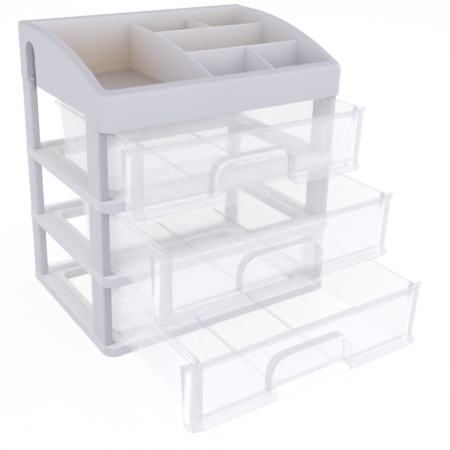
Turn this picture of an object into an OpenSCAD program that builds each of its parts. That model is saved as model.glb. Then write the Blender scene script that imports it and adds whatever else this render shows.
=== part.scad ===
// Stacking organizer: three open frame levels carry a deep divided tray, and a clear drawer
// slides in each level. Millimetres, +Z up, the front faces -Y, and the origin is the middle
// of the base's underside. Every piece is one moulding of thin, even walls.

/* [Overall size] */
// width of the frames and the tray, side to side
body_w = 270; // [250:1:320]
// depth of the frames and the tray, front to back
body_d = 190; // [180:1:240]
// height of one level, from one ring's underside to the next
level_h = 74; // [70:1:100]
// radius of the body's front corners in plan
front_r = 12; // [9:1:15]
// radius of the body's back corners in plan
back_r = 4; // [3:1:8]

/* [Frame levels] */
// height of the ring, underside to top face
ring_t = 10; // [9:0.5:13]
// wall of the frame and tray mouldings
frame_wall = 2.4; // [1.8:0.1:2.8]
// width of the ring's side rails
side_rail = 23; // [21:1:28]
// width of the ring's front rail
front_rail = 24; // [20:1:32]
// width of the ring's back rail
back_rail = 27; // [24:1:34]
// radius of the ring opening's corners
opening_r = 6; // [4:1:12]
// place of the guide line on a side rail, from the opening
guide_in = 8; // [6:0.5:9]
// width of the guide line
guide_w = 1.2; // [0.8:0.1:2]
// depth of the guide line
guide_h = 0.5; // [0.3:0.1:0.8]
// height of the low stop on the back rail
stop_h = 5; // [3:0.5:8]
// how far the stop's ends stand inside the posts
stop_inset = 6; // [4:1:20]

/* [Posts] */
// thickness of a post, side to side
post_t = 9; // [8.5:0.5:11]
// depth of a front post, front to back
front_post_d = 27; // [22:1:36]
// depth of a back post, front to back
back_post_d = 20; // [16:1:26]
// how far a front post stands behind the ring's front face, the room for a drawer's wing
post_setback = 8; // [7:0.5:10]
// how far a post's outer face stands inside the ring's edge
post_inset = 0.9; // [0.6:0.1:1.2]
// wall of a post
post_wall = 2; // [1.6:0.1:2.4]
// radius of a post's corners
post_r = 2.4; // [2.2:0.1:3.2]
// radius of the fillet where a post rises from its ring
foot_r = 7; // [5:0.5:8]
// how far a post's plug reaches up into the piece above
plug_h = 14; // [12:1:20]
// clearance round a plug
plug_gap = 0.2; // [0.15:0.05:0.4]

/* [Tray] */
// height of the tray at its back, above the lower edge of its front apron
tray_back_h = 66; // [60:1:80]
// height of the tray at its front, above the lower edge of its front apron
tray_front_h = 33; // [28:1:40]
// how far the side skirts end above the lower edge of the front apron
skirt_lift = 9; // [7:0.5:12]
// length of the level stretch of the side line at the back
back_level = 35; // [30:1:50]
// length of the level stretch of the side line at the front
front_level = 10; // [9:0.5:12]
// width of the rim along the sides
side_rim = 10.5; // [10:0.5:14]
// width of the rim along the front and the back
end_rim = 12; // [11:0.5:16]
// radius of the rim's outer edge
rim_r = 6; // [4:0.5:6.5]
// thickness of the top of the rim, over the hollow between the tray's two walls
rim_t = 4; // [3.5:0.25:5]
// height of the pocket's floor above the lower edge of the front apron
pocket_floor = 6; // [5:0.5:8]
// radius of the pocket's corners
pocket_r = 5; // [4:0.5:8]

/* [Tray dividers] */
// thickness of a divider
divider_t = 2; // [1.6:0.1:2.6]
// place of the long divider, from the middle
long_divider_x = -14; // [-40:1:40]
// place of the back cross divider, from the middle
back_cross_y = 31; // [20:1:45]
// place of the front cross divider, from the middle
front_cross_y = -31; // [-45:1:-20]
// place of the short dividers, from the middle
short_divider_x = 57; // [50:1:90]
// how far the dividers end below the rim at the back
divider_drop_back = 10; // [6:1:16]
// how far the dividers end below the rim at the front
divider_drop_front = 3; // [2:0.5:8]

/* [Side recess and snap] */
// depth of the recess, front to back
recess_d = 24; // [18:1:26]
// how far the recess stops below the rim
recess_drop = 15; // [13:1:24]
// side of the square snap tab in the recess
snap = 3; // [2:0.5:4]

/* [Drawers] */
// wall and floor of a drawer
drawer_wall = 2; // [1.6:0.1:2.4]
// length of a drawer, from the fascia's front to the back flange
drawer_l = 174; // [160:1:176]
// how much narrower a drawer's side is at the floor than at the top
side_draft = 5; // [3:0.5:6]
// width of the level flange round the drawer
flange = 3.5; // [3:0.25:4]
// thickness of the flange
flange_t = 2; // [1.6:0.1:2.4]
// how far the side walls stand above the fascia's rim
wall_lead = 3.4; // [2:0.2:4]
// height of the ridges on the floor
ridge_h = 1; // [0.6:0.1:1.6]
// place of the ridges, from the middle
ridge_x = 35; // [25:1:70]
// running gap under the floor
gap_under = 0.4; // [0.3:0.05:0.8]
// running gap over the side walls
gap_over = 0.6; // [0.4:0.05:1]
// running gap between the flange and the posts
gap_side = 1; // [0.6:0.1:1.5]
// gap between a wing and the post that it closes on
gap_wing = 0.4; // [0.35:0.05:0.8]

/* [Fascia] */
// wall of the fascia
fascia_wall = 2.4; // [2:0.1:3]
// how far the fascia's ends stand inside the body's sides
fascia_inset = 1.5; // [1:0.25:3]
// how much narrower each end of the fascia is at the bottom
fascia_draft = 4; // [2:0.5:5]
// length of the round end, along the front
wing_l = 17; // [14:1:22]
// how far the plate that closes a wing lies below its rim
plate_drop = 0.6; // [0.4:0.1:1]
// thickness of the rim band
band_t = 3.8; // [3:0.1:4.4]
// height of the rim band
band_h = 4.5; // [4:0.25:6]
// how far the lip stands out in front of the fascia
lip_out = 4.5; // [3:0.5:6]
// height of the lip
lip_h = 12; // [10:0.5:14]
// how far the lip hangs below the ring's top face
lip_drop = 1.4; // [1:0.1:2]
// radius of the lip's nose
nose_r = 2.6; // [2:0.1:3]

/* [Finger pull] */
// half-width of the finger pull
pull_half_w = 43; // [34:1:50]
// height of the finger pull above the lip's lower edge
pull_h = 35; // [30:1:40]
// radius of the finger pull's upper corners
pull_r = 14; // [10:1:18]
// depth of the finger pull behind the fascia's front
pull_d = 12; // [10:0.5:16]

/* [Pose] */
// how far the top drawer is pulled out
top_out = 40; // [0:1:140]
// how far the middle drawer is pulled out
middle_out = 87; // [0:1:140]
// how far the bottom drawer is pulled out
bottom_out = 135; // [0:1:140]

/* [View] */
// which piece to draw

/* [Hidden] */
$fn = 96;
levels = 3;
eps = 0.5;
half_w = body_w / 2;
front_y = -body_d / 2;
back_y = body_d / 2;
post_out = half_w - post_inset;
post_in = post_out - post_t;
front_post_y = front_y + post_setback;
back_post_y = back_y - post_inset - back_post_d;
opening_x = half_w - side_rail;

// tray, measured from the lower edge of its apron
pocket_x = half_w - side_rim;
pocket_y = body_d / 2 - end_rim;
curve_back = back_y - back_level;
curve_front = front_y + front_level;

// drawer, measured from the underside of its level's ring
floor_z = ring_t + gap_under;
top_z = level_h - gap_over;
rim_z = top_z - wall_lead;
flange_x = post_in - gap_side;
wall_x = flange_x - flange;
drawer_back = front_y + drawer_l;
wall_back = drawer_back - flange;
lip_z = ring_t - lip_drop;
lip_top = lip_z + lip_h;
wing_back = front_post_y - gap_wing;
wing_d = wing_back - front_y;
end_x = half_w - fascia_inset;
lean = fascia_draft / (rim_z - lip_z);
stop_y = wall_back + 1;

// radius of the arc that falls by drop over run and starts level
function arc_radius(drop, run) = (run * run + drop * drop) / (2 * drop);

module mirrored() {
  children();
  mirror([1, 0, 0]) children();
}

// rectangle from -x to x and ya to yb, with one radius at the front corners and one at the back
module rounded(x, ya, yb, rf, rb) {
  mid = (ya + yb) / 2;
  translate([-x, ya + rf]) square([2 * x, yb - ya - rf - rb]);
  translate([-x + rf, ya]) square([2 * (x - rf), mid - ya]);
  translate([-x + rb, mid]) square([2 * (x - rb), yb - mid]);
  for (s = [-1, 1]) {
    translate([s * (x - rf), ya + rf]) circle(rf);
    translate([s * (x - rb), yb - rb]) circle(rb);
  }
}

// outline of the body in plan, drawn in by e
module outline(e = 0) {
  rounded(half_w - e, front_y + e, back_y - e, front_r - e, max(back_r - e, 0.4));
}

// the four posts in plan, drawn in by e
module posts(e = 0) {
  r = max(post_r - e, 0.2);
  w = post_t - 2 * e;
  mirrored() {
    for (p = [[front_post_y, front_post_d], [back_post_y, back_post_d]])
      translate([post_in + e + w / 2, 0])
        rounded(w / 2, p[0] + e, p[0] + p[1] - e, r, r);
  }
}

// extrudes a drawing of the YZ plane along X, from -x to x
module along_x(x) {
  translate([-x, 0, 0]) rotate([90, 0, 90]) linear_extrude(2 * x) children();
}

// extrudes a drawing of the XZ plane along Y, from ya to yb
module along_y(ya, yb) {
  translate([0, yb, 0]) rotate([90, 0, 0]) linear_extrude(yb - ya) children();
}

// the ring: a plate with a skirt round its outside and one round its opening, hollow below
module ring() {
  difference() {
    linear_extrude(ring_t) difference() {
      outline();
      rounded(opening_x, front_y + front_rail, back_y - back_rail, opening_r, opening_r);
    }
    translate([0, 0, -1]) linear_extrude(ring_t - frame_wall + 1) difference() {
      outline(frame_wall);
      rounded(opening_x + frame_wall, front_y + front_rail - frame_wall,
              back_y - back_rail + frame_wall, opening_r + frame_wall, opening_r + frame_wall);
    }
    // guide line along each side rail
    mirrored() translate([opening_x + guide_in, front_y + front_rail, ring_t - guide_h])
      cube([guide_w, body_d - front_rail - back_rail, 1]);
  }
}

// concave fillet on the inner side of a post's foot
module foot(ya, yb) {
  x = post_in - foot_r;
  along_y(ya, yb) polygon(concat(
    [[post_in + eps, ring_t - eps], [x, ring_t - eps]],
    [for (a = [0:10:90]) [x + foot_r * sin(a), ring_t + foot_r * (1 - cos(a))]],
    [[post_in + eps, ring_t + foot_r]]));
}

// one frame level: ring, four hollow posts with plugs on top, and the stop on the back rail
module level(i) {
  translate([0, 0, i * level_h]) {
    difference() {
      union() {
        ring();
        linear_extrude(level_h) posts();
        mirrored() {
          foot(front_post_y + post_r, front_post_y + front_post_d - post_r);
          foot(back_post_y + post_r, back_post_y + back_post_d - post_r);
        }
      }
      translate([0, 0, -1]) linear_extrude(level_h - post_wall + 1) posts(post_wall);
    }
    translate([0, 0, level_h - post_wall]) linear_extrude(post_wall + plug_h)
      posts(post_wall + plug_gap);
    x = post_in - stop_inset;
    r = stop_h - eps;
    along_y(stop_y, stop_y + frame_wall) {
      translate([-x, ring_t - eps]) square([2 * x, eps + stop_h - r]);
      translate([-x + r, ring_t - eps]) square([2 * (x - r), eps + stop_h]);
      for (s = [-1, 1]) translate([s * (x - r), ring_t + stop_h - r]) circle(r);
    }
  }
}

// area under a side line in the YZ plane: level at the back, an arc that starts level, level in front
module under_line(back_z, front_z) {
  r = arc_radius(back_z - front_z, curve_back - curve_front);
  translate([curve_back, 0]) square([back_y - curve_back, back_z]);
  translate([front_y, 0]) square([curve_front - front_y, front_z]);
  intersection() {
    translate([curve_back, back_z - r]) circle(r, $fn = 360);
    translate([curve_front, 0]) square([curve_back - curve_front, back_z + 1]);
  }
}

// section of the tray across X with rounded upper corners
module section(z) {
  translate([-half_w, 0]) square([body_w, z - rim_r]);
  translate([-half_w + rim_r, 0]) square([body_w - 2 * rim_r, z]);
  for (s = [-1, 1]) translate([s * (half_w - rim_r), z - rim_r]) circle(rim_r);
}

// the tray's outer form: the section runs level, then round the arc, then level again
module tray_form() {
  r = arc_radius(tray_back_h - tray_front_h, curve_back - curve_front);
  intersection() {
    linear_extrude(tray_back_h + 1) outline();
    union() {
      along_y(curve_back, back_y) section(tray_back_h);
      along_y(front_y, curve_front + end_rim) section(tray_front_h);
      intersection() {
        translate([0, curve_back, tray_back_h - r]) rotate([0, 90, 0]) rotate_extrude($fn = 360) {
          translate([0, -half_w]) square([r - rim_r, body_w]);
          translate([0, -half_w + rim_r]) square([r, body_w - 2 * rim_r]);
          for (s = [-1, 1]) translate([r - rim_r, s * (half_w - rim_r)]) circle(rim_r, $fn = 96);
        }
        translate([-half_w, curve_front - front_level / 2, 0])
          cube([body_w, curve_back - curve_front + front_level / 2, tray_back_h + 1]);
      }
    }
    // the long front edge is rounded too
    along_x(half_w) {
      translate([front_y + rim_r, 0]) square([body_d - rim_r, tray_back_h + 1]);
      translate([front_y, 0]) square([body_d, tray_front_h - rim_r]);
      translate([front_y + rim_r, tray_front_h - rim_r]) circle(rim_r);
    }
  }
}

// the recess in a side skirt, in the YZ plane, drawn out by e
module recess_area(e = 0) {
  r = recess_d / 2 + e;
  y = back_post_y - recess_d / 2;
  z = tray_back_h - recess_drop - recess_d / 2;
  translate([y - r, -1]) square([2 * r, z + 1]);
  translate([y, z]) circle(r);
}

module dividers() {
  x = pocket_x + eps;
  y = pocket_y + eps;
  t = divider_t / 2;
  intersection() {
    translate([0, 0, pocket_floor - eps]) linear_extrude(tray_back_h) {
      translate([long_divider_x - t, -y]) square([divider_t, 2 * y]);
      for (c = [back_cross_y, front_cross_y])
        translate([long_divider_x, c - t]) square([x - long_divider_x, divider_t]);
      translate([short_divider_x - t, back_cross_y]) square([divider_t, y - back_cross_y]);
      translate([short_divider_x - t, -y]) square([divider_t, y + front_cross_y]);
    }
    along_x(half_w)
      under_line(tray_back_h - divider_drop_back, tray_front_h - divider_drop_front);
  }
}

module tray() {
  wall = frame_wall;
  recess_x = pocket_x + wall;
  difference() {
    union() {
      difference() {
        tray_form();
        // skirts end above the apron everywhere behind the front posts' faces
        translate([-half_w - 1, front_post_y, -1]) cube([body_w + 2, body_d, skirt_lift + 1]);
        // hollow between the outer skirt and the pocket, open below
        difference() {
          intersection() {
            translate([0, 0, -1]) linear_extrude(tray_back_h) outline(wall);
            along_x(half_w) translate([0, -rim_t]) under_line(tray_back_h, tray_front_h);
          }
          translate([0, 0, pocket_floor - wall]) linear_extrude(tray_back_h)
            rounded(pocket_x + wall, -pocket_y - wall, pocket_y + wall,
                    pocket_r + wall, pocket_r + wall);
          mirrored() intersection() {
            along_x(half_w) recess_area(wall);
            translate([recess_x - eps, -body_d, skirt_lift]) cube([half_w, 2 * body_d, tray_back_h]);
          }
        }
      }
      // floor of the pocket, with its walls below the skirts
      translate([0, 0, pocket_floor - wall]) linear_extrude(skirt_lift - pocket_floor + wall + 1)
        rounded(pocket_x + wall, -pocket_y - wall, pocket_y + wall,
                pocket_r + wall, pocket_r + wall);
      // sockets for the plugs of the top frame
      linear_extrude(plug_h + 3) posts();
    }
    translate([0, 0, -1]) linear_extrude(plug_h + 2) posts(post_wall);
    translate([0, 0, pocket_floor]) linear_extrude(tray_back_h)
      rounded(pocket_x, -pocket_y, pocket_y, pocket_r, pocket_r);
    mirrored() intersection() {
      along_x(half_w + 1) recess_area();
      translate([recess_x, -body_d, skirt_lift - 1]) cube([half_w, 2 * body_d, tray_back_h]);
    }
  }
  dividers();
  mirrored() translate([recess_x + 2, back_post_y - snap, skirt_lift + 1])
    cube([snap, snap + eps, snap]);
}

// box that is drawn in by draft at its foot on the sides, and by a fifth of that at the back
module drafted_box(x, ya, yb, za, zb) {
  d = side_draft * (zb - za) / (top_z - floor_z);
  intersection() {
    along_y(ya, yb) polygon([[-x + d, za], [x - d, za], [x, zb], [-x, zb]]);
    along_x(x + 1) polygon([[ya, za], [yb - d / 5, za], [yb, zb], [ya, zb]]);
  }
}

// points of half the fascia's front and round end in plan, drawn in by t
function end_points(t) = concat([[0, front_y + t]],
  [for (a = [0:6:90]) [end_x - wing_l + (wing_l - t) * sin(a), wing_back - (wing_d - t) * cos(a)]]);

// the same points, the last one carried on past the wing's back edge along its own line: all
// that ends at that edge is cut off there at once
function long_end(t) = let(p = end_points(t), n = len(p) - 1)
  concat([for (i = [0:n - 1]) p[i]], [p[n] + (p[n] - p[n - 1]) / 2]);

// the area behind them
function open_end(t) = let(p = long_end(t), q = p[len(p) - 1])
  concat(p, [[q[0], q[1] + body_d], [0, q[1] + body_d]]);

// solid from za to zb whose level sections are the outline pts, moved by sx and sy for each unit
// of height above z0
module leaning(pts, sx, sy, z0, za, zb) {
  b = atan(sx);
  a = -atan(sy * cos(b));
  intersection() {
    translate([0, 0, z0]) rotate([a, b, 0]) translate([0, 0, -2 * level_h])
      linear_extrude(4 * level_h)
        polygon([for (p = pts) [p[0] * cos(b), p[1] * cos(a) + p[0] * sin(a) * sin(b)]]);
    translate([0, front_y - body_d / 2, za]) cube([body_w, body_d, zb - za]);
  }
}

// stretch of the fascia from za to zb, wall t, its ends leaning out towards the top
module fascia_band(t, za, zb) {
  inner = long_end(t);
  leaning(concat(long_end(0), [for (i = [len(inner) - 1:-1:0]) inner[i]]),
          lean, 0, rim_z, za, zb);
}

// plate that closes the top of a wing
module wing_top() {
  intersection() {
    leaning(open_end(band_t / 2), lean, 0, rim_z,
            rim_z - plate_drop - flange_t, rim_z - plate_drop);
    translate([wall_x - drawer_wall / 2, front_y, 0]) cube([half_w, body_d / 2, level_h]);
  }
}

// [height, how far the lip stands proud there]: a flare that grows with the square of the drop,
// then a round nose
flare = [for (t = [0:0.2:1]) [lip_top - (lip_top - lip_z - nose_r) * t, lip_out * t * t]];
nose = [for (a = [0:30:90]) [lip_z + nose_r * (1 - sin(a)), lip_out - nose_r * (1 - cos(a))]];

// the fascia's outline, filled, moved forward as the straight line from upper to lower says
module lip_part(upper, lower) {
  leaning([for (p = open_end(0))
            [p[0] - (p[0] > 0 ? lean * (rim_z - upper[0]) : 0), p[1] - upper[1]]],
          lean, (lower[1] - upper[1]) / (upper[0] - lower[0]), upper[0], lip_z, lip_top);
}

// the flared lip along the fascia's foot, solid: the flare is the largest of its lines and the
// nose the smallest of its own
module lip() {
  difference() {
    intersection() {
      for (i = [0:len(flare) - 2]) lip_part(flare[i], flare[i + 1]);
      intersection_for (i = [0:len(nose) - 2]) lip_part(nose[i], nose[i + 1]);
    }
    // hollow behind the fascia, above the floor's level
    leaning(open_end(fascia_wall), lean, 0, rim_z, floor_z, lip_top + 1);
    // clears the ring that the drawer closes on
    translate([-1, front_y - gap_wing, lip_z - 1])
      cube([body_w, wing_d + 2, floor_z - lip_z + 1]);
  }
}

// the finger pull's arch in the XZ plane, drawn out by e
module pull_area(e = 0) {
  x = pull_half_w + e;
  z = lip_z + pull_h + e;
  r = pull_r + e;
  translate([-x, lip_z - 2]) square([2 * x, z - r - lip_z + 2]);
  translate([-x + r, lip_z - 2]) square([2 * (x - r), z - lip_z + 2]);
  for (s = [-1, 1]) translate([s * (x - r), z - r]) circle(r);
}

module drawer() {
  w = drawer_wall;
  face_in = front_y + fascia_wall;
  difference() {
    union() {
      difference() {
        union() {
          drafted_box(wall_x, front_y, wall_back, floor_z, top_z);
          translate([0, 0, rim_z - flange_t]) linear_extrude(flange_t)
            rounded(flange_x, face_in - eps, drawer_back, w, flange + w);
        }
        drafted_box(wall_x - w, face_in, wall_back - w, floor_z + w, top_z + w);
        // the fascia's top edge stays below the side walls
        translate([-half_w, front_y - 1, rim_z]) cube([body_w, band_t + 1, level_h]);
      }
      mirrored() difference() {
        union() {
          fascia_band(fascia_wall, lip_top, rim_z - band_h);
          fascia_band(band_t, rim_z - band_h, rim_z);
          wing_top();
          lip();
        }
        translate([0, wing_back, 0]) cube([body_w, body_d, level_h]);
      }
      // walls of the finger pull
      intersection() {
        along_y(front_y + eps, front_y + pull_d) pull_area(w);
        translate([-half_w, front_y, floor_z]) cube([body_w, body_d, level_h]);
      }
      for (s = [-1, 1])
        translate([s * ridge_x - w / 2, front_y + pull_d - eps, floor_z + w - eps])
          cube([w, wall_back - w - front_y - pull_d, ridge_h + eps]);
    }
    along_y(front_y - lip_out - 1, front_y + pull_d - w) pull_area();
  }
}

module base_frame() { color("#CFCFD6") level(0); }
module middle_frame() { color("#CFCFD6") level(1); }
module top_frame() { color("#CFCFD6") level(2); }
module top_tray() { color("#CFCFD6") translate([0, 0, levels * level_h]) tray(); }
module top_drawer() { color("#F3F3F8", 0.4) translate([0, -top_out, 2 * level_h]) drawer(); }
module middle_drawer() { color("#F3F3F8", 0.4) translate([0, -middle_out, level_h]) drawer(); }
module bottom_drawer() { color("#F3F3F8", 0.4) translate([0, -bottom_out, 0]) drawer(); }

base_frame();
middle_frame();
top_frame();
top_tray();
top_drawer();
middle_drawer();
bottom_drawer();
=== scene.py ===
# %% [markdown]
# # A stacking organizer in light grey and clear plastic
#
# The object is a stack of mouldings: three open frame levels, a deep divided tray on top, and a
# clear drawer in each level. The imported model gives every piece its size and its place; the
# cells below give the frames and the tray the soft edges, fillets and finish of the real moulding,
# and the drawers their clear finish.

# %% Load the frame
import math

import bpy
import numpy as np
from mathutils import Matrix, Vector


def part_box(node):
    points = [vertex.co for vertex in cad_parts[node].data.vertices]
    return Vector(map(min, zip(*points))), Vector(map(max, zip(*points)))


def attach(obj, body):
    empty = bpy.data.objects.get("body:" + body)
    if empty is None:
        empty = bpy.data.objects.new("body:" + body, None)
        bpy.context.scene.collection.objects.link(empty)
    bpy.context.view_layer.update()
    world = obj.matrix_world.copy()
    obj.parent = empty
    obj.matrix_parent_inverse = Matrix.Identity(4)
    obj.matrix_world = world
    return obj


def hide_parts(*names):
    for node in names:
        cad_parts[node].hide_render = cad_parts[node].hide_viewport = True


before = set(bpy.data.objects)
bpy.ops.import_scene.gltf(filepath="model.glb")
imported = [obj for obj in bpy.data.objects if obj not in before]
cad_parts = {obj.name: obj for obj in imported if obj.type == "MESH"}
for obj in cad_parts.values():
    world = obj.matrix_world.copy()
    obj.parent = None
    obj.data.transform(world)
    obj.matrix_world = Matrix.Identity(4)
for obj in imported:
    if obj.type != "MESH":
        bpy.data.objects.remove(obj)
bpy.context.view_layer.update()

print("nodes:", sorted(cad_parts))

# %% [markdown]
# ## Sizes
#
# Everything is in metres. The outer sizes come from the frame, so that a change there moves all
# the pieces; only small details, such as radii and walls, are written here, in millimetres.

# %% Sizes
MM = 0.001
tray_low, tray_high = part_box("top_tray")
base_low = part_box("base_frame")[0]
half_w = tray_high.x
front_y, back_y = tray_low.y, tray_high.y
tray_z, tray_top = tray_low.z, tray_high.z
level_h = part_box("middle_frame")[0].z - base_low.z
print("level height in mm:", round(level_h / MM, 2))

# %% [markdown]
# ## Camera
#
# The photograph looks down on the left front corner. Its lens stands a little off the middle of
# the frame, which a small lens shift repeats.

# %% Camera
azimuth, elevation, roll = (math.radians(a) for a in (32.84, 21.48, 1.13))
focal_px, frame_px, centre_px = 748.0, 450, (198.0, 180.0)
lens_place = Vector((-387.8, -636.2, 416.7)) * MM
sensor_mm = 36
ahead = Vector((math.sin(azimuth) * math.cos(elevation), math.cos(azimuth) * math.cos(elevation),
                -math.sin(elevation)))
level_right = Vector((math.cos(azimuth), -math.sin(azimuth), 0))
level_up = level_right.cross(ahead)
right = math.cos(roll) * level_right + math.sin(roll) * level_up
up = right.cross(ahead)

camera = bpy.data.objects.new("camera", bpy.data.cameras.new("camera"))
bpy.context.scene.collection.objects.link(camera)
camera.matrix_world = (Matrix.Translation(lens_place)
                       @ Matrix((right, up, -ahead)).transposed().to_4x4())
camera.data.sensor_width = sensor_mm
camera.data.lens = focal_px / frame_px * sensor_mm
camera.data.shift_x = (frame_px / 2 - centre_px[0]) / frame_px
camera.data.shift_y = (centre_px[1] - frame_px / 2) / frame_px
camera.data.clip_start, camera.data.clip_end = 0.01, 20
bpy.context.scene.camera = camera
print("lens in mm:", round(camera.data.lens, 1))

# %% [markdown]
# ## Colours and nodes
#
# Colours are picked as sRGB hex values, as on a screen, and turned to the linear values that the
# shaders work in. One helper adds any node with its settings and its links.

# %% Helpers for materials
def linear(hex_colour, alpha=1.0):
    """sRGB hex to linear: a value under 0.04045 is divided by 12.92, others follow the power of
    2.4 of (value + 0.055) / 1.055."""
    parts = [int(hex_colour[i:i + 2], 16) / 255 for i in (1, 3, 5)]
    return (*[p / 12.92 if p <= 0.04045 else ((p + 0.055) / 1.055) ** 2.4 for p in parts], alpha)


def add(tree, kind, inputs=None, **settings):
    """Adds a node. inputs maps a socket's name or number to a value or to another node's output."""
    node = tree.nodes.new("ShaderNode" + kind)
    for name, value in settings.items():
        setattr(node, name, value)
    for name, value in (inputs or {}).items():
        if isinstance(value, bpy.types.NodeSocket):
            tree.links.new(value, node.inputs[name])
        else:
            node.inputs[name].default_value = value
    return node


def new_material(name):
    """An empty material with its output node, and its tree."""
    material = bpy.data.materials.new(name)
    material.use_nodes = True
    material.node_tree.nodes.clear()
    return material, material.node_tree, add(material.node_tree, "OutputMaterial")

# %% [markdown]
# ## Opaque plastic
#
# The frames and the tray are injection-moulded polypropylene in a cool light grey. The mould's
# faces are finely eroded, so the surface has a grain of a few tenths of a millimetre and soft,
# wide highlights. Its corners are rounded by half a millimetre or so. The clear drawers scatter
# light onto the frames and the deep pocket swallows it; soft tints by place paint this light and
# shade into the grey.

# %% Helper: masks
def mask_tools(tree):
    """Three small calculations for masks: a ramp from 0 at start to 1 at end, level beyond both,
    any of the Math node's operations, and the product of two masks, which is where both hold."""
    def ramp(value, start, end, unit=MM):
        return add(tree, "MapRange", {"Value": value, "From Min": start * unit,
                                      "From Max": end * unit}).outputs[0]

    def calculate(operation, *values):
        return add(tree, "Math", dict(enumerate(values)), operation=operation).outputs[0]

    def both(first, second):
        return calculate("MULTIPLY", first, second)

    return ramp, calculate, both

# %% Moulded grey polypropylene
drift_size, grain_size = 60, 0.5
grain_depth, plastic_edge = 0.05, 0.6


def moulded_polypropylene(name, face_hex, shade_hex, tints):
    """Grey plastic whose tone wanders a little over some 60 mm, with an eroded grain of 0.5 mm.
    tints takes the tree and the place and gives rows of painted light and shade: a mask, the
    share at which its colour covers the grey there, and the colour."""
    material, tree, out = new_material(name)
    place = add(tree, "TexCoord").outputs["Object"]
    drift = add(tree, "TexNoise", {"Vector": place, "Scale": 1 / (drift_size * MM), "Detail": 2.0})
    tone = add(tree, "Mix", {"Factor": drift.outputs["Fac"], "A": linear(face_hex),
                             "B": linear(shade_hex)}, data_type="RGBA")
    both = mask_tools(tree)[2]
    # painted light and shade laid over the grey
    for mask, share, colour in tints(tree, place):
        tone = add(tree, "Mix", {"Factor": both(mask, share), "A": tone.outputs["Result"],
                                 "B": linear(colour)}, data_type="RGBA")
    grain = add(tree, "TexNoise", {"Vector": place, "Scale": 1 / (grain_size * MM), "Detail": 3.0})
    rounded = add(tree, "Bevel", {"Radius": plastic_edge * MM}, samples=8)
    bump = add(tree, "Bump", {"Height": grain.outputs["Fac"], "Strength": 0.12,
                              "Distance": grain_depth * MM, "Normal": rounded.outputs["Normal"]})
    shader = add(tree, "BsdfPrincipled", {"Base Color": tone.outputs["Result"], "Roughness": 0.42,
                                          "IOR": 1.49, "Normal": bump.outputs["Normal"]})
    tree.links.new(shader.outputs["BSDF"], out.inputs["Surface"])
    return material

# %% Painted light and shade on the frame levels
# in mm, where light and shade are painted: the space that faces the drawers, the right posts, the
# rails and rings, and the left post's front face
drawer_side, rail_front, back_face = 126.0, -71.5, 94.2
right_post_x, right_post_outside, right_post_front = 125.0, 133.9, -86.0
rail_inside, rail_outside, ring_side_x = 112.0, 124.0, 134.3
post_front, behind_post_front, left_end = -87.6, -84.0, -100.0


def frame_painted_light_and_shade(tree, place):
    """Painted light: the level faces, the rings' sides and all that faces the drawers get a little
    lighter tint, and so do the right posts, for the light that the clear drawers scatter onto them.
    Painted shade: the left post's front face stands back from the light and gets a darker tint."""
    ramp, calculate, both = mask_tools(tree)
    across, along = add(tree, "SeparateXYZ", {0: place}).outputs[:2]
    aside = calculate("ABSOLUTE", across)
    facing = add(tree, "SeparateXYZ", {0: add(tree, "NewGeometry").outputs["Normal"]}).outputs
    # painted light on the rings' sides, the space by the drawers, the right posts and the level
    # faces
    ring_side = ramp(aside, ring_side_x, ring_side_x + 0.5)
    within = both(ramp(aside, drawer_side, drawer_side - 0.5),
                  ramp(along, rail_front, rail_front + 3.5))
    within = both(within, ramp(along, back_face, back_face - 0.4))
    right_post = both(ramp(across, right_post_x - 5, right_post_x),
                      ramp(aside, right_post_outside, right_post_outside - 0.7))
    right_post = both(right_post, ramp(along, right_post_front, right_post_front + 2))
    level_face = ramp(facing[2], 0.6, 0.95, unit=1)
    under_drawer = both(level_face, ramp(aside, rail_outside, rail_inside))
    light = calculate("MAXIMUM", calculate("MAXIMUM", within, right_post), level_face)
    # painted shade on the left post's front face
    to_left = both(ramp(facing[1], -0.3, -0.95, unit=1), ramp(across, 0, left_end))
    set_back = both(to_left, both(ramp(along, post_front, post_front + 0.3),
                                  ramp(along, behind_post_front, behind_post_front - 1)))
    # painted light in the first three rows, painted shade in the last
    return [(ring_side, 0.55, "#DCDCE1"), (light, 0.85, "#F0F0F1"),
            (under_drawer, 1.0, "#FBFBFC"), (set_back, 1.0, "#B1B0B9")]

# %% Painted light and shade in the tray
# in mm: half the pocket's width and depth, its floor's height, and the arched recess in a side
pocket_x, pocket_y, pocket_floor = 124.5, 83.0, 6.0
recess_middle, recess_half, recess_x = 62.1, 12.0, 126.9
back_light_start, back_light_full = -20, 80


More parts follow.
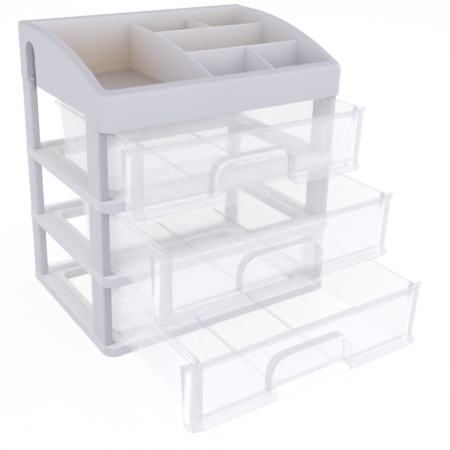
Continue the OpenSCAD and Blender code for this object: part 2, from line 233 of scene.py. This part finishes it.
def tray_painted_light_and_shade(tree, place):
    """Painted light and shade: the pocket gets a lighter grey inside, darker towards its floor, and
    turns to a warm grey towards the foot of its back wall, as light does that bounces between its
    walls. Its floor, the side recesses and the tops of the rim and of the dividers get painted
    shade, a darker grey."""
    ramp, calculate, both = mask_tools(tree)
    across, along, height = add(tree, "SeparateXYZ", {0: place}).outputs[:3]
    up = add(tree, "SeparateXYZ", {0: add(tree, "NewGeometry").outputs["True Normal"]}).outputs[2]
    aside = calculate("ABSOLUTE", across)
    within = both(calculate("LESS_THAN", aside, (pocket_x + 0.1) * MM),
                  calculate("LESS_THAN", calculate("ABSOLUTE", along), (pocket_y + 0.1) * MM))
    floor, rim = tray_z / MM + pocket_floor, tray_top / MM
    deep = both(within, ramp(height, rim - 4, floor))
    to_back = both(deep, ramp(along, back_light_start, back_light_full))
    on_floor = both(within, ramp(height, floor + 3, floor))
    off_recess = calculate("ABSOLUTE", calculate("SUBTRACT", along, recess_middle * MM))
    in_recess = both(ramp(off_recess, recess_half + 1, recess_half + 0.5),
                     both(ramp(aside, 130, 128), calculate("GREATER_THAN", aside, 126 * MM)))
    on_rim = both(ramp(height, floor + 12, floor + 13), ramp(up, 0.6, 0.9, unit=1))
    # painted light inside the pocket and painted bounce light at its back; painted shade deeper in,
    # on its floor, in the side recesses and on the tops of the rim and dividers
    return [(within, 0.9, "#E8E7EB"), (deep, 1.0, "#D4D2D8"), (to_back, 1.0, "#DAC7B0"),
            (on_floor, 0.85, "#A89D9C"), (in_recess, 0.85, "#A3A0A8"), (on_rim, 0.75, "#AFABB2")]

# %% The two greys
grey_plastic = moulded_polypropylene("moulded_grey_polypropylene", "#CBCBD1", "#C7C7CE",
                                     frame_painted_light_and_shade)
tray_plastic = moulded_polypropylene("moulded_grey_polypropylene_tray", "#CACAD0", "#C6C6CD",
                                     tray_painted_light_and_shade)
print("grey plastics:", grey_plastic.name, tray_plastic.name)

# %% [markdown]
# ## Clear plastic
#
# The drawers are polished polystyrene. A wall passes nearly all light and lays a faint milky
# veil over what is behind it. It is made denser and greyer in the thick rim band, in the walls of
# the finger pull, in the round ends, where the lip starts, and along every edge: partly because
# light travels further in the plastic there, and partly as painted shade, a grey that stands in for
# the refraction and shade that darken edges, ends, the pull and the crease. Each of these places is
# a mask on the drawer's own sizes.

# %% Sizes of a drawer, in mm from the fascia's face, from the drawer's foot and from its middle
lip_out, wrap_depth, front_depth, back_depth = 4.5, 8.0, 14.0, 100.0
floor_top, lip_top, crease_z, band_low, band_high = 6.0, 9.0, 12.0, 56.4, 62.5
ridge_x, pull_x, column_x = 35.0, 46.5, 117.8
veil = 0.31

# %% Polished clear polystyrene
def clear_polystyrene(name, low):
    """Veil over what lies behind, denser by masks, and greyer by the same masks as painted shade.
    low is the corner of the drawer's box: the lip's foot, 4.5 mm in front of the fascia. Back faces
    add nothing, so that each wall counts once. Shadow rays and light that bounces off other pieces
    pass nearly free, as they do through clear plastic."""
    material, tree, out = new_material(name)
    here = add(tree, "Mapping", {"Vector": add(tree, "TexCoord").outputs["Object"],
                                 "Location": (0, -low.y - lip_out * MM, -low.z)})
    across, depth, height = add(tree, "SeparateXYZ", {0: here.outputs[0]}).outputs[:3]
    surface = add(tree, "NewGeometry")
    turned = add(tree, "SeparateXYZ", {0: surface.outputs["True Normal"]}).outputs
    ramp, calculate, both = mask_tools(tree)

    def most(first, *others):
        for value in others:
            first = calculate("MAXIMUM", first, value)
        return first

    def outside(mask):
        return calculate("SUBTRACT", 1.0, mask)

    def off(value, place):
        return calculate("ABSOLUTE", calculate("SUBTRACT", value, place * MM))

    # faces and walls
    half = -low.x / MM
    off_middle = calculate("ABSOLUTE", across)
    facing_front = ramp(calculate("ABSOLUTE", turned[1]), 0.85, 0.97, unit=1)
    front_face = both(facing_front, ramp(depth, front_depth, front_depth - 1))
    at_back = both(facing_front, ramp(depth, back_depth, back_depth + 10))
    on_floor = both(ramp(height, floor_top, floor_top - 1), ramp(depth, 11.5, 12.5))
    in_fascia = ramp(depth, wrap_depth, wrap_depth - 0.6)
    in_lip = both(ramp(depth, 12, 11.5), ramp(off_middle, half, half - 3))
    lip, foot = both(in_lip, ramp(height, lip_top, 7)), both(in_lip, ramp(height, 2.2, 1.0))

    # edges: a rounded normal leaves the true one there; they fade with depth and in the lip. Their
    # grey is painted shade for the refraction at a rounded edge.
    rounded = add(tree, "Bevel", {"Radius": 1.2 * MM}, samples=16)
    along = add(tree, "VectorMath", {0: rounded.outputs[0], 1: surface.outputs["True Normal"]},
                operation="DOT_PRODUCT")
    line = both(ramp(along.outputs["Value"], 0.99, 0.86, unit=1), outside(on_floor))
    line = both(line, calculate("ADD", 0.45, both(ramp(depth, 130, 60), 0.55)))
    line = both(line, outside(both(lip, 0.75)))

    # thick places; their grey is partly painted shade, most of all in the pull, the round ends and
    # the crease
    ridge = both(on_floor, ramp(off(off_middle, ridge_x), 3.2, 1.6))
    band = both(both(in_fascia, ramp(height, band_low, band_low + 0.8)),
                ramp(height, band_high, band_high - 1))
    column = both(both(in_fascia, ramp(off_middle, column_x - 0.4, column_x + 0.4)),
                  ramp(off_middle, half - 5, half - 7))
    end = both(in_fascia, most(ramp(off_middle, half - 3.5, half - 2),
                               ramp(off(off_middle, column_x), 0.9, 0.4)))
    crease = both(both(ramp(height, crease_z - 3.5, crease_z),
                       ramp(height, crease_z + 3.5, crease_z)), ramp(depth, 2, 1))
    pull = both(both(ramp(depth, 2.5, 3.0), ramp(depth, 13, 12.4)),
                ramp(off_middle, pull_x, pull_x - 1))
    right_wall = both(ramp(across, 30, 35), ramp(turned[0], -0.5, -0.8, unit=1))
    pull = both(both(pull, outside(facing_front)), outside(both(right_wall, 0.6)))

    # rows of a place, how grey it is and how dense; the grey is painted shade
    places = [(line, 0.8, 0.88), (ridge, 0.3, 0.62), (band, 0.45, 0.68), (pull, 0.85, 0.7),
              (column, 0.5, 0.72), (crease, 0.5, 0.62), (end, 0.6, 0.75), (lip, 0.42, 0.5),
              (foot, 0.7, 0.0), (front_face, 0.17, 0.0)]
    wall = calculate("ADD", veil, most(both(front_face, 0.12), both(on_floor, 0.12),
                                       both(at_back, 0.22)))
    grey = most(*[both(mask, share) for mask, share, _ in places])
    dense = most(wall, *[both(mask, share) for mask, _, share in places])

    path = add(tree, "LightPath").outputs
    passing = calculate("MAXIMUM", path["Is Shadow Ray"], path["Is Diffuse Ray"])
    seen = outside(surface.outputs["Backfacing"])
    alpha = both(dense, both(seen, outside(both(passing, 0.85))))
    # the grey end of the tone is the painted shade
    tone = add(tree, "Mix", {"Factor": grey, "A": linear("#FDFCFF"), "B": linear("#A8A5B0")},
               data_type="RGBA")
    shader = add(tree, "BsdfPrincipled", {"Base Color": tone.outputs["Result"], "Roughness": 0.15,
                                          "IOR": 1.59, "Alpha": alpha})
    tree.links.new(shader.outputs["BSDF"], out.inputs["Surface"])
    return material

# %% Dress the drawers
for name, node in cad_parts.items():
    if "drawer" in name:
        clear = clear_polystyrene("clear_polystyrene_" + name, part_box(name)[0])
        for slot in node.material_slots:
            slot.material = clear
        print(name, "has its clear plastic")

# %% [markdown]
# ## Surfaces from rings
#
# Every moulding here is one thin skin: it could be modelled by hand with extrusions and bevels,
# but a stack of rings says the same in numbers and keeps all walls and radii even. A ring is a
# closed line round the piece, every ring has the same number of points, and rings that follow
# each other are joined by quads. A piece ends in two poles, or its last ring meets its first.

# %% Helper: a skin over rings
def skin(rings, poles=True):
    """rings is an array (ring, point, xyz) in mm. Quad (i, j) joins points j and j + 1 of ring i
    with those of ring i + 1. With poles, each end ring gets a fan round its mean point; without,
    the last ring meets the first. The volume is a sixth of the sum of a . (b x c) over the
    triangles, and the faces are turned outwards if it comes out negative."""
    n_rings, n_points = rings.shape[:2]
    points = rings.reshape(-1, 3)
    i, j = np.meshgrid(np.arange(n_rings - 1 if poles else n_rings), np.arange(n_points),
                       indexing="ij")
    below, above, after = i * n_points, (i + 1) % n_rings * n_points, (j + 1) % n_points
    quads = np.stack([below + j, below + after, above + after, above + j], -1).reshape(-1, 4)
    fans = np.empty((0, 3), int)
    if poles:
        k = np.arange(n_points)
        following = (k + 1) % n_points
        first, last, top = len(points), len(points) + 1, (n_rings - 1) * n_points
        points = np.vstack([points, rings[0].mean(0), rings[-1].mean(0)])
        fans = np.vstack([np.stack([np.full(n_points, first), following, k], -1),
                          np.stack([np.full(n_points, last), top + k, top + following], -1)])
    triangles = np.vstack([quads[:, :3], quads[:, [0, 2, 3]], fans])
    a, b, c = (points[triangles[:, m]] for m in range(3))
    volume = np.einsum("ij,ij->i", a, np.cross(b, c)).sum() / 6
    if volume < 0:
        quads, fans = quads[:, ::-1], fans[:, ::-1]
    return points, quads, fans, abs(volume)


def moulding(name, skins, material, body, crease=35):
    """Makes one object of several skins, in metres, that rides on body. Edges that turn by more
    than crease degrees stay sharp in the shading."""
    counts = np.cumsum([0] + [len(one[0]) for one in skins])
    points = np.vstack([one[0] for one in skins]) * MM
    faces = [face for one, at_point in zip(skins, counts) for part in one[1:3]
             for face in (part + at_point).tolist()]
    mesh = bpy.data.meshes.new(name)
    mesh.from_pydata(points.tolist(), [], faces)
    mesh.polygons.foreach_set("use_smooth", np.ones(len(faces), bool))
    mesh.set_sharp_from_angle(angle=math.radians(crease))
    mesh.materials.append(material)
    whole = bpy.data.objects.new(name, mesh)
    bpy.context.scene.collection.objects.link(whole)
    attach(whole, body)
    print(f"{name}: {len(faces)} faces, {sum(one[3] for one in skins) / 1000:.1f} cm3")
    return whole

# %% [markdown]
# ## The plan of the body
#
# Rings, skirts and pocket are rounded rectangles in plan. Their points keep the same order and
# the same shares of each side, so that any two of them can be joined. The side columns stand
# closer together where the tray has its recess.

# %% Helper: rounded rectangle in plan
apron_step, step_gap = -87.0, 0.012
n_back, n_front, n_corner = 16, 25, 9
body_r_front, body_r_back = 12, 4
wide_step, fine_step = 2.0, 0.5
side_places = np.unique(np.concatenate([np.arange(-83, 92, wide_step),
                                        np.arange(44, 80, fine_step)]))[::-1]
side_share = (side_places[0] - side_places) / np.ptp(side_places)


def plan_ring(half_x, y_front, y_back, r_front, r_back):
    """Rounded rectangle, clockwise from the middle of the back, in mm: points (x, y) and their
    inward normals. A corner is centre + r (cos a, sin a); the rest are straight. The left half
    mirrors the right one. Two points of the front corner stand close on either side of the
    plane where the tray's apron steps up."""
    back_x = np.linspace(0, half_x - r_back, n_back, endpoint=False)
    turn = np.radians(np.linspace(0, 90, n_corner))
    corner_y = y_front + r_front
    share = min(max((corner_y - apron_step) / r_front, 0.2), 0.8)
    step = np.arcsin(np.array([share - step_gap, share + step_gap]))
    bend = np.concatenate([np.linspace(0, step[0], 6), np.linspace(step[1], math.pi / 2, 12)])
    side_y = y_back - r_back - side_share * (y_back - r_back - corner_y)
    front_x = np.linspace(half_x - r_front, 0, n_front + 1)[1:]
    x = np.concatenate([back_x, half_x - r_back + r_back * np.sin(turn),
                        np.full(len(side_y) - 2, half_x), half_x - r_front + r_front * np.cos(bend),
                        front_x])
    y = np.concatenate([np.full(n_back, y_back), y_back - r_back + r_back * np.cos(turn),
                        side_y[1:-1], corner_y - r_front * np.sin(bend),
                        np.full(n_front, y_front)])
    nx = np.concatenate([np.zeros(n_back), -np.sin(turn), -np.ones(len(side_y) - 2),
                         -np.cos(bend), np.zeros(n_front)])
    ny = np.concatenate([-np.ones(n_back), -np.cos(turn), np.zeros(len(side_y) - 2),
                         np.sin(bend), np.ones(n_front)])
    whole = lambda a, sign: np.concatenate([a, sign * a[-2:0:-1]])
    return (np.stack([whole(x, -1), whole(y, 1)], -1),
            np.stack([whole(nx, -1), whole(ny, 1)], -1))


body_plan, body_inward = plan_ring(half_w / MM, front_y / MM, back_y / MM, body_r_front,
                                   body_r_back)
print("points in a ring:", len(body_plan))

# %% [markdown]
# ## The tray
#
# The tray is one moulding with two walls: a deep pocket hangs inside a skirt, and a broad rim
# joins them. Its side line runs level at the back, falls along an arc and meets the low front
# edge softly. The skin starts under the pocket's floor, goes up the pocket's hidden side, under
# the rim, down and up the skirt, over the rounded rim and down to the floor again.

# %% Side line of the tray
tray_h = (tray_top - tray_z) / MM
front_h, rim_radius, skirt_wall = 33.0, 6.0, 2.4
level_back, level_front, meeting = 60.0, -85.0, 1.2


def falling_line(y, high, low):
    """Height in mm: high behind level_back, in front of it a circle that starts level and would
    reach low at level_front. The logarithm of one plus an exponential keeps it above low and
    rounds the meeting."""
    drop, run = high - low, level_back - level_front
    radius = (run ** 2 + drop ** 2) / (2 * drop)
    ahead_of = np.clip(level_back - y, 0, None)
    arc = high - radius + np.sqrt(radius ** 2 - ahead_of ** 2)
    return low + meeting * np.logaddexp(0, (arc - low) / meeting)


def side_line(y):
    """Height of the rim above the apron's lower edge: the falling line from tray_h to front_h."""
    return falling_line(y, tray_h, front_h)


print("side line in mm:", np.round(side_line(np.array([95, 60, 0, -60, -85, -95])), 1))

# %% Recess in the skirt
recess_centre_z, recess_reach, side_x = 39.0, 17, 125
half_cell, next_cell, step_in, wider = 0.3, 0.85, 0.35, 2.0


def recess_distance(y, z):
    """How far a point of the side lies outside the arch: straight sides, then a half circle."""
    return np.where(z < recess_centre_z, np.abs(y - recess_middle),
                    np.hypot(y - recess_middle, z - recess_centre_z)) - recess_half


def sink_recess(points, floor_x, snapped):
    """Moves the side's points inside the arch in to floor_x. Points that are snapped and lie
    within half a cell of the arch move onto it first, the next ones to step_in inside it, along
    the distance's slope, so that the wall is steep and its edge a clean line. Hidden faces are
    not snapped: they move in over a slightly wider arch, which leaves the wall its thickness."""
    x, y, z = points[..., 0], points[..., 1], points[..., 2]
    side = (np.abs(x) > side_x) & (np.abs(y - recess_middle) < recess_reach)
    away = recess_distance(y, z)
    rise = np.where(z < recess_centre_z, 0, z - recess_centre_z)
    slope = np.stack([y - recess_middle, rise], -1)
    slope = slope / np.maximum(np.linalg.norm(slope, axis=-1, keepdims=True), 1e-6)
    if snapped:
        next_in = (away <= -half_cell) & (away > -next_cell)
        goal = np.where(np.abs(away) < half_cell, 0, np.where(next_in, -step_in, away))
        points[..., 1:] += np.where(side, goal - away, 0)[..., None] * slope
        inside = goal < -step_in / 2
    else:
        inside = away < wider
    depth = np.where(side & inside, np.abs(x) - floor_x, 0)
    points[..., 0] -= np.sign(x) * np.clip(depth, 0, None)
    return points

# %% Rings of the tray
pocket_r, floor_h, under_floor = 5.0, pocket_floor, 3.6
lip_r, foot_r, floor_r, rim_t = 1.2, 0.6, 2.5, 4.0
pocket_hidden_x, skirt_hidden_x = 125.6, 126.1
outer_x, outer_y, outer_r = (size + skirt_wall for size in (pocket_x, pocket_y, pocket_r))
pocket_plan, pocket_inward = plan_ring(pocket_x, -pocket_y, pocket_y, pocket_r, pocket_r)
pocket_back_plan, pocket_back_inward = plan_ring(outer_x, -outer_y, outer_y, outer_r, outer_r)
column_y = body_plan[:, 1]
skirt_foot = np.where(column_y > apron_step, 9.0, 0.0)
# the rim's rounding narrows towards the back edge, which has only a small radius
round_r = np.interp(column_y, [79, 91, 94, 95], [rim_radius, 3.6, 2.0, 1.6])


def at(plan, inward, move, height):
    """Ring at a plan line moved inwards, with a height for each point or for all."""
    move = np.broadcast_to(move, len(plan))
    flat = plan + inward * move[:, None]
    high = height(flat[:, 1]) if callable(height) else height
    return np.column_stack([flat, np.broadcast_to(high, len(plan))])


def between(first, last, shares):
    """Rings on straight lines from each point of one ring to the same point of another."""
    return first + np.asarray(shares)[:, None, None] * (last - first)


def stack(*groups):
    """Puts rings and groups of rings into one array."""
    return np.concatenate([g[None] if g.ndim == 2 else g for g in groups])


under_rim = lambda y: side_line(y) - rim_t
pocket_foot = at(pocket_back_plan, pocket_back_inward, 0, under_floor + 1)
pocket_neck = at(pocket_back_plan, pocket_back_inward, 0, under_rim)
skirt_neck = at(body_plan, body_inward, skirt_wall, under_rim)
foot_inside = at(body_plan, body_inward, skirt_wall, skirt_foot + foot_r)
half_turn = 0.3 * foot_r
foot_round = [at(body_plan, body_inward, d, skirt_foot + h)
              for d, h in ((skirt_wall - half_turn, half_turn), (skirt_wall - foot_r, 0),
                           (foot_r, 0), (half_turn, half_turn))]
foot_outside = at(body_plan, body_inward, 0, skirt_foot + foot_r)
shoulder = np.column_stack([body_plan, side_line(column_y) - round_r])
roll_over = np.radians(np.linspace(0, 90, 9))
over_rim = np.stack([at(body_plan, body_inward, round_r * (1 - math.cos(a)),
                        lambda y, a=a: side_line(y) - round_r * (1 - math.sin(a)))
                     for a in roll_over[1:]])
into_pocket = np.stack([at(pocket_plan, pocket_inward, -lip_r * (1 - math.sin(a)),
                           lambda y, a=a: side_line(y) - lip_r * (1 - math.cos(a)))
                        for a in np.radians([0, 25, 50, 75, 90])])
pocket_low = at(pocket_plan, pocket_inward, 0, floor_h + floor_r)
floor_turn = np.stack([at(pocket_plan, pocket_inward, floor_r * (1 - math.cos(a)),
                          floor_h + floor_r * (1 - math.sin(a)))
                       for a in np.radians([22, 45, 68, 90])])
underside = np.stack([at(pocket_back_plan * share, pocket_back_inward, 0, under_floor)
                      for share in (0.4, 0.8, 0.99)])
floor_rings = np.stack([at(pocket_plan * share, pocket_inward, 0, floor_h)
                        for share in (0.9, 0.6, 0.3)])

tray_rings = stack(
    underside,
    sink_recess(between(pocket_foot, pocket_neck, np.linspace(0, 1, 16)), pocket_hidden_x, False),
    sink_recess(between(skirt_neck, foot_inside, np.linspace(0, 1, 24)), skirt_hidden_x, False),
    sink_recess(np.stack(foot_round), recess_x, True),
    sink_recess(between(foot_outside, shoulder, np.linspace(0, 1, 96)), recess_x, True),
    over_rim, into_pocket, between(into_pocket[-1], pocket_low, np.linspace(0, 1, 10)[1:]),
    floor_turn, floor_rings)
print("rings:", tray_rings.shape)

# %% [markdown]
# ## Dividers, sockets and snap tabs
#
# The dividers are thin plates in the same shot of plastic. A mould leaves a small radius at a
# plate's foot and a round top edge, and both catch the light, so the plates are rings too: one
# section with a foot, two faces and a rounded top, carried along each plate.

# %% Helper: standing plate
def plate(start, end, shares, thickness, top, bottom, edge, foot):
    """Rings across a plate from start to end in plan. The half section goes from the foot, a
    quarter circle that flares out by foot, up the face to a quarter circle of radius edge."""
    start, end = np.array(start, float), np.array(end, float)
    line = start + np.asarray(shares)[:, None] * (end - start)
    along = (end - start) / np.linalg.norm(end - start)
    across = np.array([-along[1], along[0]])
    turn = np.radians(np.linspace(0, 90, 5))
    out = np.concatenate([[thickness / 2 + foot] * 2, thickness / 2 + foot * (1 - np.sin(turn)),
                          thickness / 2 - edge * (1 - np.cos(turn))])
    low = np.concatenate([[bottom - 0.8, bottom], bottom + foot * (1 - np.cos(turn))])
    tops = np.broadcast_to(top(line[:, 1]) if callable(top) else top, len(line))
    high = tops[:, None] - edge * (1 - np.sin(turn))
    z = np.concatenate([np.broadcast_to(low, (len(line), len(low))), high], 1)
    u = np.concatenate([-out, out[::-1]])
    z = np.concatenate([z, z[:, ::-1]], 1)
    flat = line[:, None, :] + across * u[None, :, None]
    return skin(np.concatenate([flat, z[..., None]], -1))


def raised(part, height):
    """The same skin, moved up."""
    return (part[0] + [0, 0, height], *part[1:])

# %% Dividers of the tray
divider_line = lambda y: falling_line(y, tray_h - 10, front_h - 3)
divider_t, divider_edge, divider_foot = 2.0, 0.9, 1.2
long_x, cross_y, short_x = -14, 31, 57
into_wall = 0.7
wall_x, wall_y = pocket_x + into_wall, pocket_y + into_wall
even = np.linspace(0, 1, 60)
plates = [((long_x, -wall_y), (long_x, wall_y)), ((long_x, cross_y), (wall_x, cross_y)),
          ((long_x, -cross_y), (wall_x, -cross_y)), ((short_x, cross_y), (short_x, wall_y)),
          ((short_x, -wall_y), (short_x, -cross_y))]
dividers = [raised(plate(a, b, even, divider_t, divider_line, floor_h, divider_edge,
                         divider_foot), tray_z / MM) for a, b in plates]
print("dividers:", len(dividers))

# %% Helper: small rounded rectangle and a post's rings
def pad_ring(x_low, x_high, y_low, y_high, r, z, n=6):
    """Rounded rectangle, anticlockwise from its right side, at the height z."""
    a = np.radians(np.concatenate([np.linspace(q, q + 90, n) for q in (0, 90, 180, 270)]))
    cx = np.repeat([x_high - r, x_low + r, x_low + r, x_high - r], n)
    cy = np.repeat([y_high - r, y_high - r, y_low + r, y_low + r], n)
    return np.column_stack([cx + r * np.cos(a), cy + r * np.sin(a), np.full(4 * n, float(z))])


post_in, post_out, post_r = 125.1, 134.1, 2.4
post_spans = ((-87.0, -60.0), (74.1, 94.1))
corners = [(side, *span) for side in (-1, 1) for span in post_spans]


def post_ring(side, y_low, y_high, inset, z):
    """A post's plan on the given side, drawn in by inset, at the height z."""
    x = sorted((side * (post_in + inset), side * (post_out - inset)))
    return pad_ring(*x, y_low + inset, y_high - inset, max(post_r - inset, 0.4), z)


def socket(side, y_low, y_high):
    """Tube below the tray that takes a post's plug: down its bore and up its outside. A level is
    how far in from the post's face, and the height."""
    levels = [(2.0, 15), (2.0, 0.4), (1.6, 0), (0.4, 0), (0, 0.4), (0, 4), (0, 8.5), (0, 17)]
    return skin(np.stack([post_ring(side, y_low, y_high, d, z) for d, z in levels]))


tab_y, tab_z = (70.9, 74.4), (10, 13)


def snap_tab(side):
    """Small square tab in the recess: rings from its back in the wall to its rounded face. A
    level is how far each side is drawn in, and how far out of the recess."""
    levels = [(0, -0.6), (0, 2.3), (0.15, 2.75), (0.5, 3.0)]
    rings = np.stack([pad_ring(tab_y[0] + d, tab_y[1] - d, tab_z[0] + d, tab_z[1] - d, 0.5, h)
                      for d, h in levels])
    x = side * (recess_x + 2 + rings[..., 2])
    return skin(np.stack([x, rings[..., 0], rings[..., 1]], -1))


sockets = [raised(socket(*corner), tray_z / MM) for corner in corners]
tabs = [raised(snap_tab(side), tray_z / MM) for side in (-1, 1)]
tray = moulding("organizer_tray",
                [skin(tray_rings + [0, 0, tray_z / MM]), *dividers, *sockets, *tabs],
                tray_plastic, "cabinet")
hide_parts("top_tray")

# %% [markdown]
# ## The frame levels
#
# Each level is one moulding: a flat ring with short skirts, four hollow posts, and a low stop on
# the back rail. The ring's section is carried round between the body's outline and the opening's;
# a guide line for the drawer is pressed into each side rail. The posts flare out at the foot.

# %% Rings of a level
opening_x, opening_front, opening_back, opening_r = 112, -71, 68, 6
ring_t, ring_wall, guide_depth, top_r, foot_bevel = 10.0, 2.4, 0.5, 0.8, 0.4
opening_plan, opening_inward = plan_ring(opening_x, opening_front, opening_back, opening_r,
                                         opening_r)
on_side_rail = ((np.abs(body_inward[:, 0]) > 0.999)
                & (np.abs(opening_plan[:, 1]) < opening_back - 1))
edge_turn = np.radians(np.linspace(0, 90, 5))
outer_edge = np.stack([at(body_plan, body_inward, top_r * (1 - math.cos(a)),
                          ring_t - top_r * (1 - math.sin(a))) for a in edge_turn])
inner_edge = np.stack([at(opening_plan, opening_inward, -top_r * (1 - math.sin(a)),
                          ring_t - top_r * (1 - math.cos(a))) for a in edge_turn])
# lines along a side rail; the third and fourth lie in the drawer's guide line
rail_x = np.array([128, 121.2, 121.1, 120.1, 120.0, 116])
flat_out, flat_in = half_w / MM - top_r, opening_x + top_r
top_face = between(outer_edge[-1], inner_edge[0], (flat_out - rail_x) / (flat_out - flat_in))
top_face[2:4, on_side_rail, 2] -= guide_depth
# the section of both skirts: how far in from the outer face, and the height
skirt_section = [(0, foot_bevel), (foot_bevel, 0), (ring_wall - foot_bevel, 0),
                 (ring_wall, foot_bevel), (ring_wall, ring_t - ring_wall)]
opening_skirt = [at(opening_plan, opening_inward, -d, h) for d, h in skirt_section]
outer_skirt = [at(body_plan, body_inward, d, h) for d, h in skirt_section[::-1]]
level_ring = skin(stack(outer_edge, top_face, inner_edge, *opening_skirt, *outer_skirt),
                  poles=False)
print("ring of a level, cm3:", round(level_ring[3] / 1000, 1))

# %% Posts and stop
flare_r, plug_h = 7, 14


def post(side, y_low, y_high):
    """Hollow post with its plug: down the bore to the foot and up outside, with levels as for a
    socket. Over the ring's top the inner face stands out by r - sqrt(r squared - (r - rise)
    squared), a quarter circle."""
    top, flare_top = level_h / MM, ring_t + flare_r
    levels = [(2.0, top - 2), (2.0, 0), (0, 0), (0, 9.6),
              *[(0, z) for z in np.linspace(ring_t, flare_top, 9)],
              (0, 40), (0, top - 0.3), (0.3, top), (2.2, top), (2.2, top + plug_h - 0.6),
              (2.8, top + plug_h)]
    rings = np.stack([post_ring(side, y_low, y_high, d, z) for d, z in levels])
    flared = rings[3:13]
    left = np.clip(flare_top - np.maximum(flared[..., 2], ring_t), 0, flare_r)
    flare = flare_r - np.sqrt(flare_r ** 2 - left ** 2)
    facing_in = side * flared[..., 0] < (post_in + post_out) / 2
    flared[..., 0] -= side * np.where(facing_in, flare, 0)
    return skin(rings)


stop_x, stop_y, stop_t, stop_rise, stop_round = 119.1, 77.7, 2.4, 5, 4.5
stop_shares = 0.5 - 0.5 * np.cos(np.linspace(0, math.pi, 61))
stop_places = (2 * stop_shares - 1) * stop_x
near_end = np.clip(np.abs(stop_places) - (stop_x - stop_round), 0, stop_round)
stop_top = ring_t + stop_rise - stop_round + np.sqrt(stop_round ** 2 - near_end ** 2)
stop = plate((-stop_x, stop_y), (stop_x, stop_y), stop_shares, stop_t, stop_top, ring_t - 0.2,
             edge=0.6, foot=0)
level_skins = [level_ring, stop, *[post(*corner) for corner in corners]]

for i, node in enumerate(("base_frame", "middle_frame", "top_frame")):
    height = i * level_h / MM
    level = moulding(node + "_moulding", [raised(one, height) for one in level_skins],
                     grey_plastic, "cabinet")
    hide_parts(node)

# %% [markdown]
# ## Floor and light
#
# The product stands in white surroundings, as in a tent of white cloth. Even light comes from all
# round and a little more of it from above, and three large soft lamps, left, in front and right,
# tell the faces apart. The right lamp is the strongest. To the camera the floor and the world are
# white, whatever light falls on them, and the floor keeps a part of the object's shadow.

# %% Floor
shadow_share, own_glow = 0.14, 0.85


def white_floor(name):
    """A white floor. To the eye it is mostly its own even white, with a part that takes shadow."""
    material, tree, out = new_material(name)
    path = add(tree, "LightPath").outputs
    calculate = mask_tools(tree)[1]
    seen = calculate("MAXIMUM", path["Is Camera Ray"], path["Is Glossy Ray"])
    seen = calculate("MAXIMUM", seen, path["Is Transmission Ray"])
    paint = add(tree, "BsdfDiffuse", {"Color": linear("#F2F2F2")})
    thin_paint = add(tree, "BsdfDiffuse", {"Color": (*[shadow_share] * 3, 1)})
    glow = add(tree, "Emission", {"Color": linear("#FFFFFF"), "Strength": own_glow})
    as_seen = add(tree, "AddShader", {0: thin_paint.outputs["BSDF"],
                                      1: glow.outputs["Emission"]})
    pick = add(tree, "MixShader", {"Fac": seen, 1: paint.outputs["BSDF"],
                                   2: as_seen.outputs["Shader"]})
    tree.links.new(pick.outputs["Shader"], out.inputs["Surface"])
    return material


half_floor = 3.0
floor_mesh = bpy.data.meshes.new("floor")
floor_corners = np.array([[-1, -1, 0], [1, -1, 0], [1, 1, 0], [-1, 1, 0]]) * half_floor
floor_mesh.from_pydata(floor_corners.tolist(), [], [[0, 1, 2, 3]])
floor = bpy.data.objects.new("floor", floor_mesh)
bpy.context.scene.collection.objects.link(floor)
floor_mesh.materials.append(white_floor("white_floor"))
print("floor in metres:", 2 * half_floor)

# %% World
world = bpy.data.worlds.new("white_surroundings")
bpy.context.scene.world = world
world.use_nodes = True
world.node_tree.nodes.clear()
tree = world.node_tree
path = add(tree, "LightPath").outputs
seen = mask_tools(tree)[1]("MAXIMUM", path["Is Camera Ray"], path["Is Transmission Ray"])
upwards = add(tree, "SeparateXYZ", {0: add(tree, "TexCoord").outputs["Generated"]}).outputs["Z"]
low_light, high_light = 0.9, 1.2
strength = add(tree, "MapRange", {"Value": upwards, "From Min": 0.3, "From Max": 0.9,
                                  "To Min": low_light, "To Max": high_light}).outputs["Result"]
ambient = add(tree, "Background", {"Color": linear("#F6F7FA"), "Strength": strength})
white = add(tree, "Background", {"Color": linear("#FFFFFF"), "Strength": 1.0})
pick = add(tree, "MixShader", {"Fac": seen, 1: ambient.outputs["Background"],
                               2: white.outputs["Background"]})
add(tree, "OutputWorld", {"Surface": pick.outputs["Shader"]})
print("light from low down and from above:", low_light, high_light)

# %% Lamps
middle, lamp_size = Vector((0, 0, 0.15)), 1.2


def soft_lamp(name, place, watts):
    """A round lamp, all in metres, turned to the middle of the object."""
    lamp = bpy.data.objects.new(name, bpy.data.lights.new(name, "AREA"))
    bpy.context.scene.collection.objects.link(lamp)
    lamp.data.shape, lamp.data.size, lamp.data.energy = "DISK", lamp_size, watts
    lamp.location = place
    lamp.rotation_euler = (middle - lamp.location).to_track_quat("-Z", "Y").to_euler()
    print(name, watts, "W")


soft_lamp("left_lamp", (-1.4, -0.5, 0.8), 1.8)
soft_lamp("front_lamp", (0.3, -1.7, 0.7), 3)
soft_lamp("right_lamp", (1.4, 0.1, 0.8), 4)

# %% Picture
scene = bpy.context.scene
scene.view_settings.view_transform = "Standard"
scene.cycles.transparent_max_bounces = 48
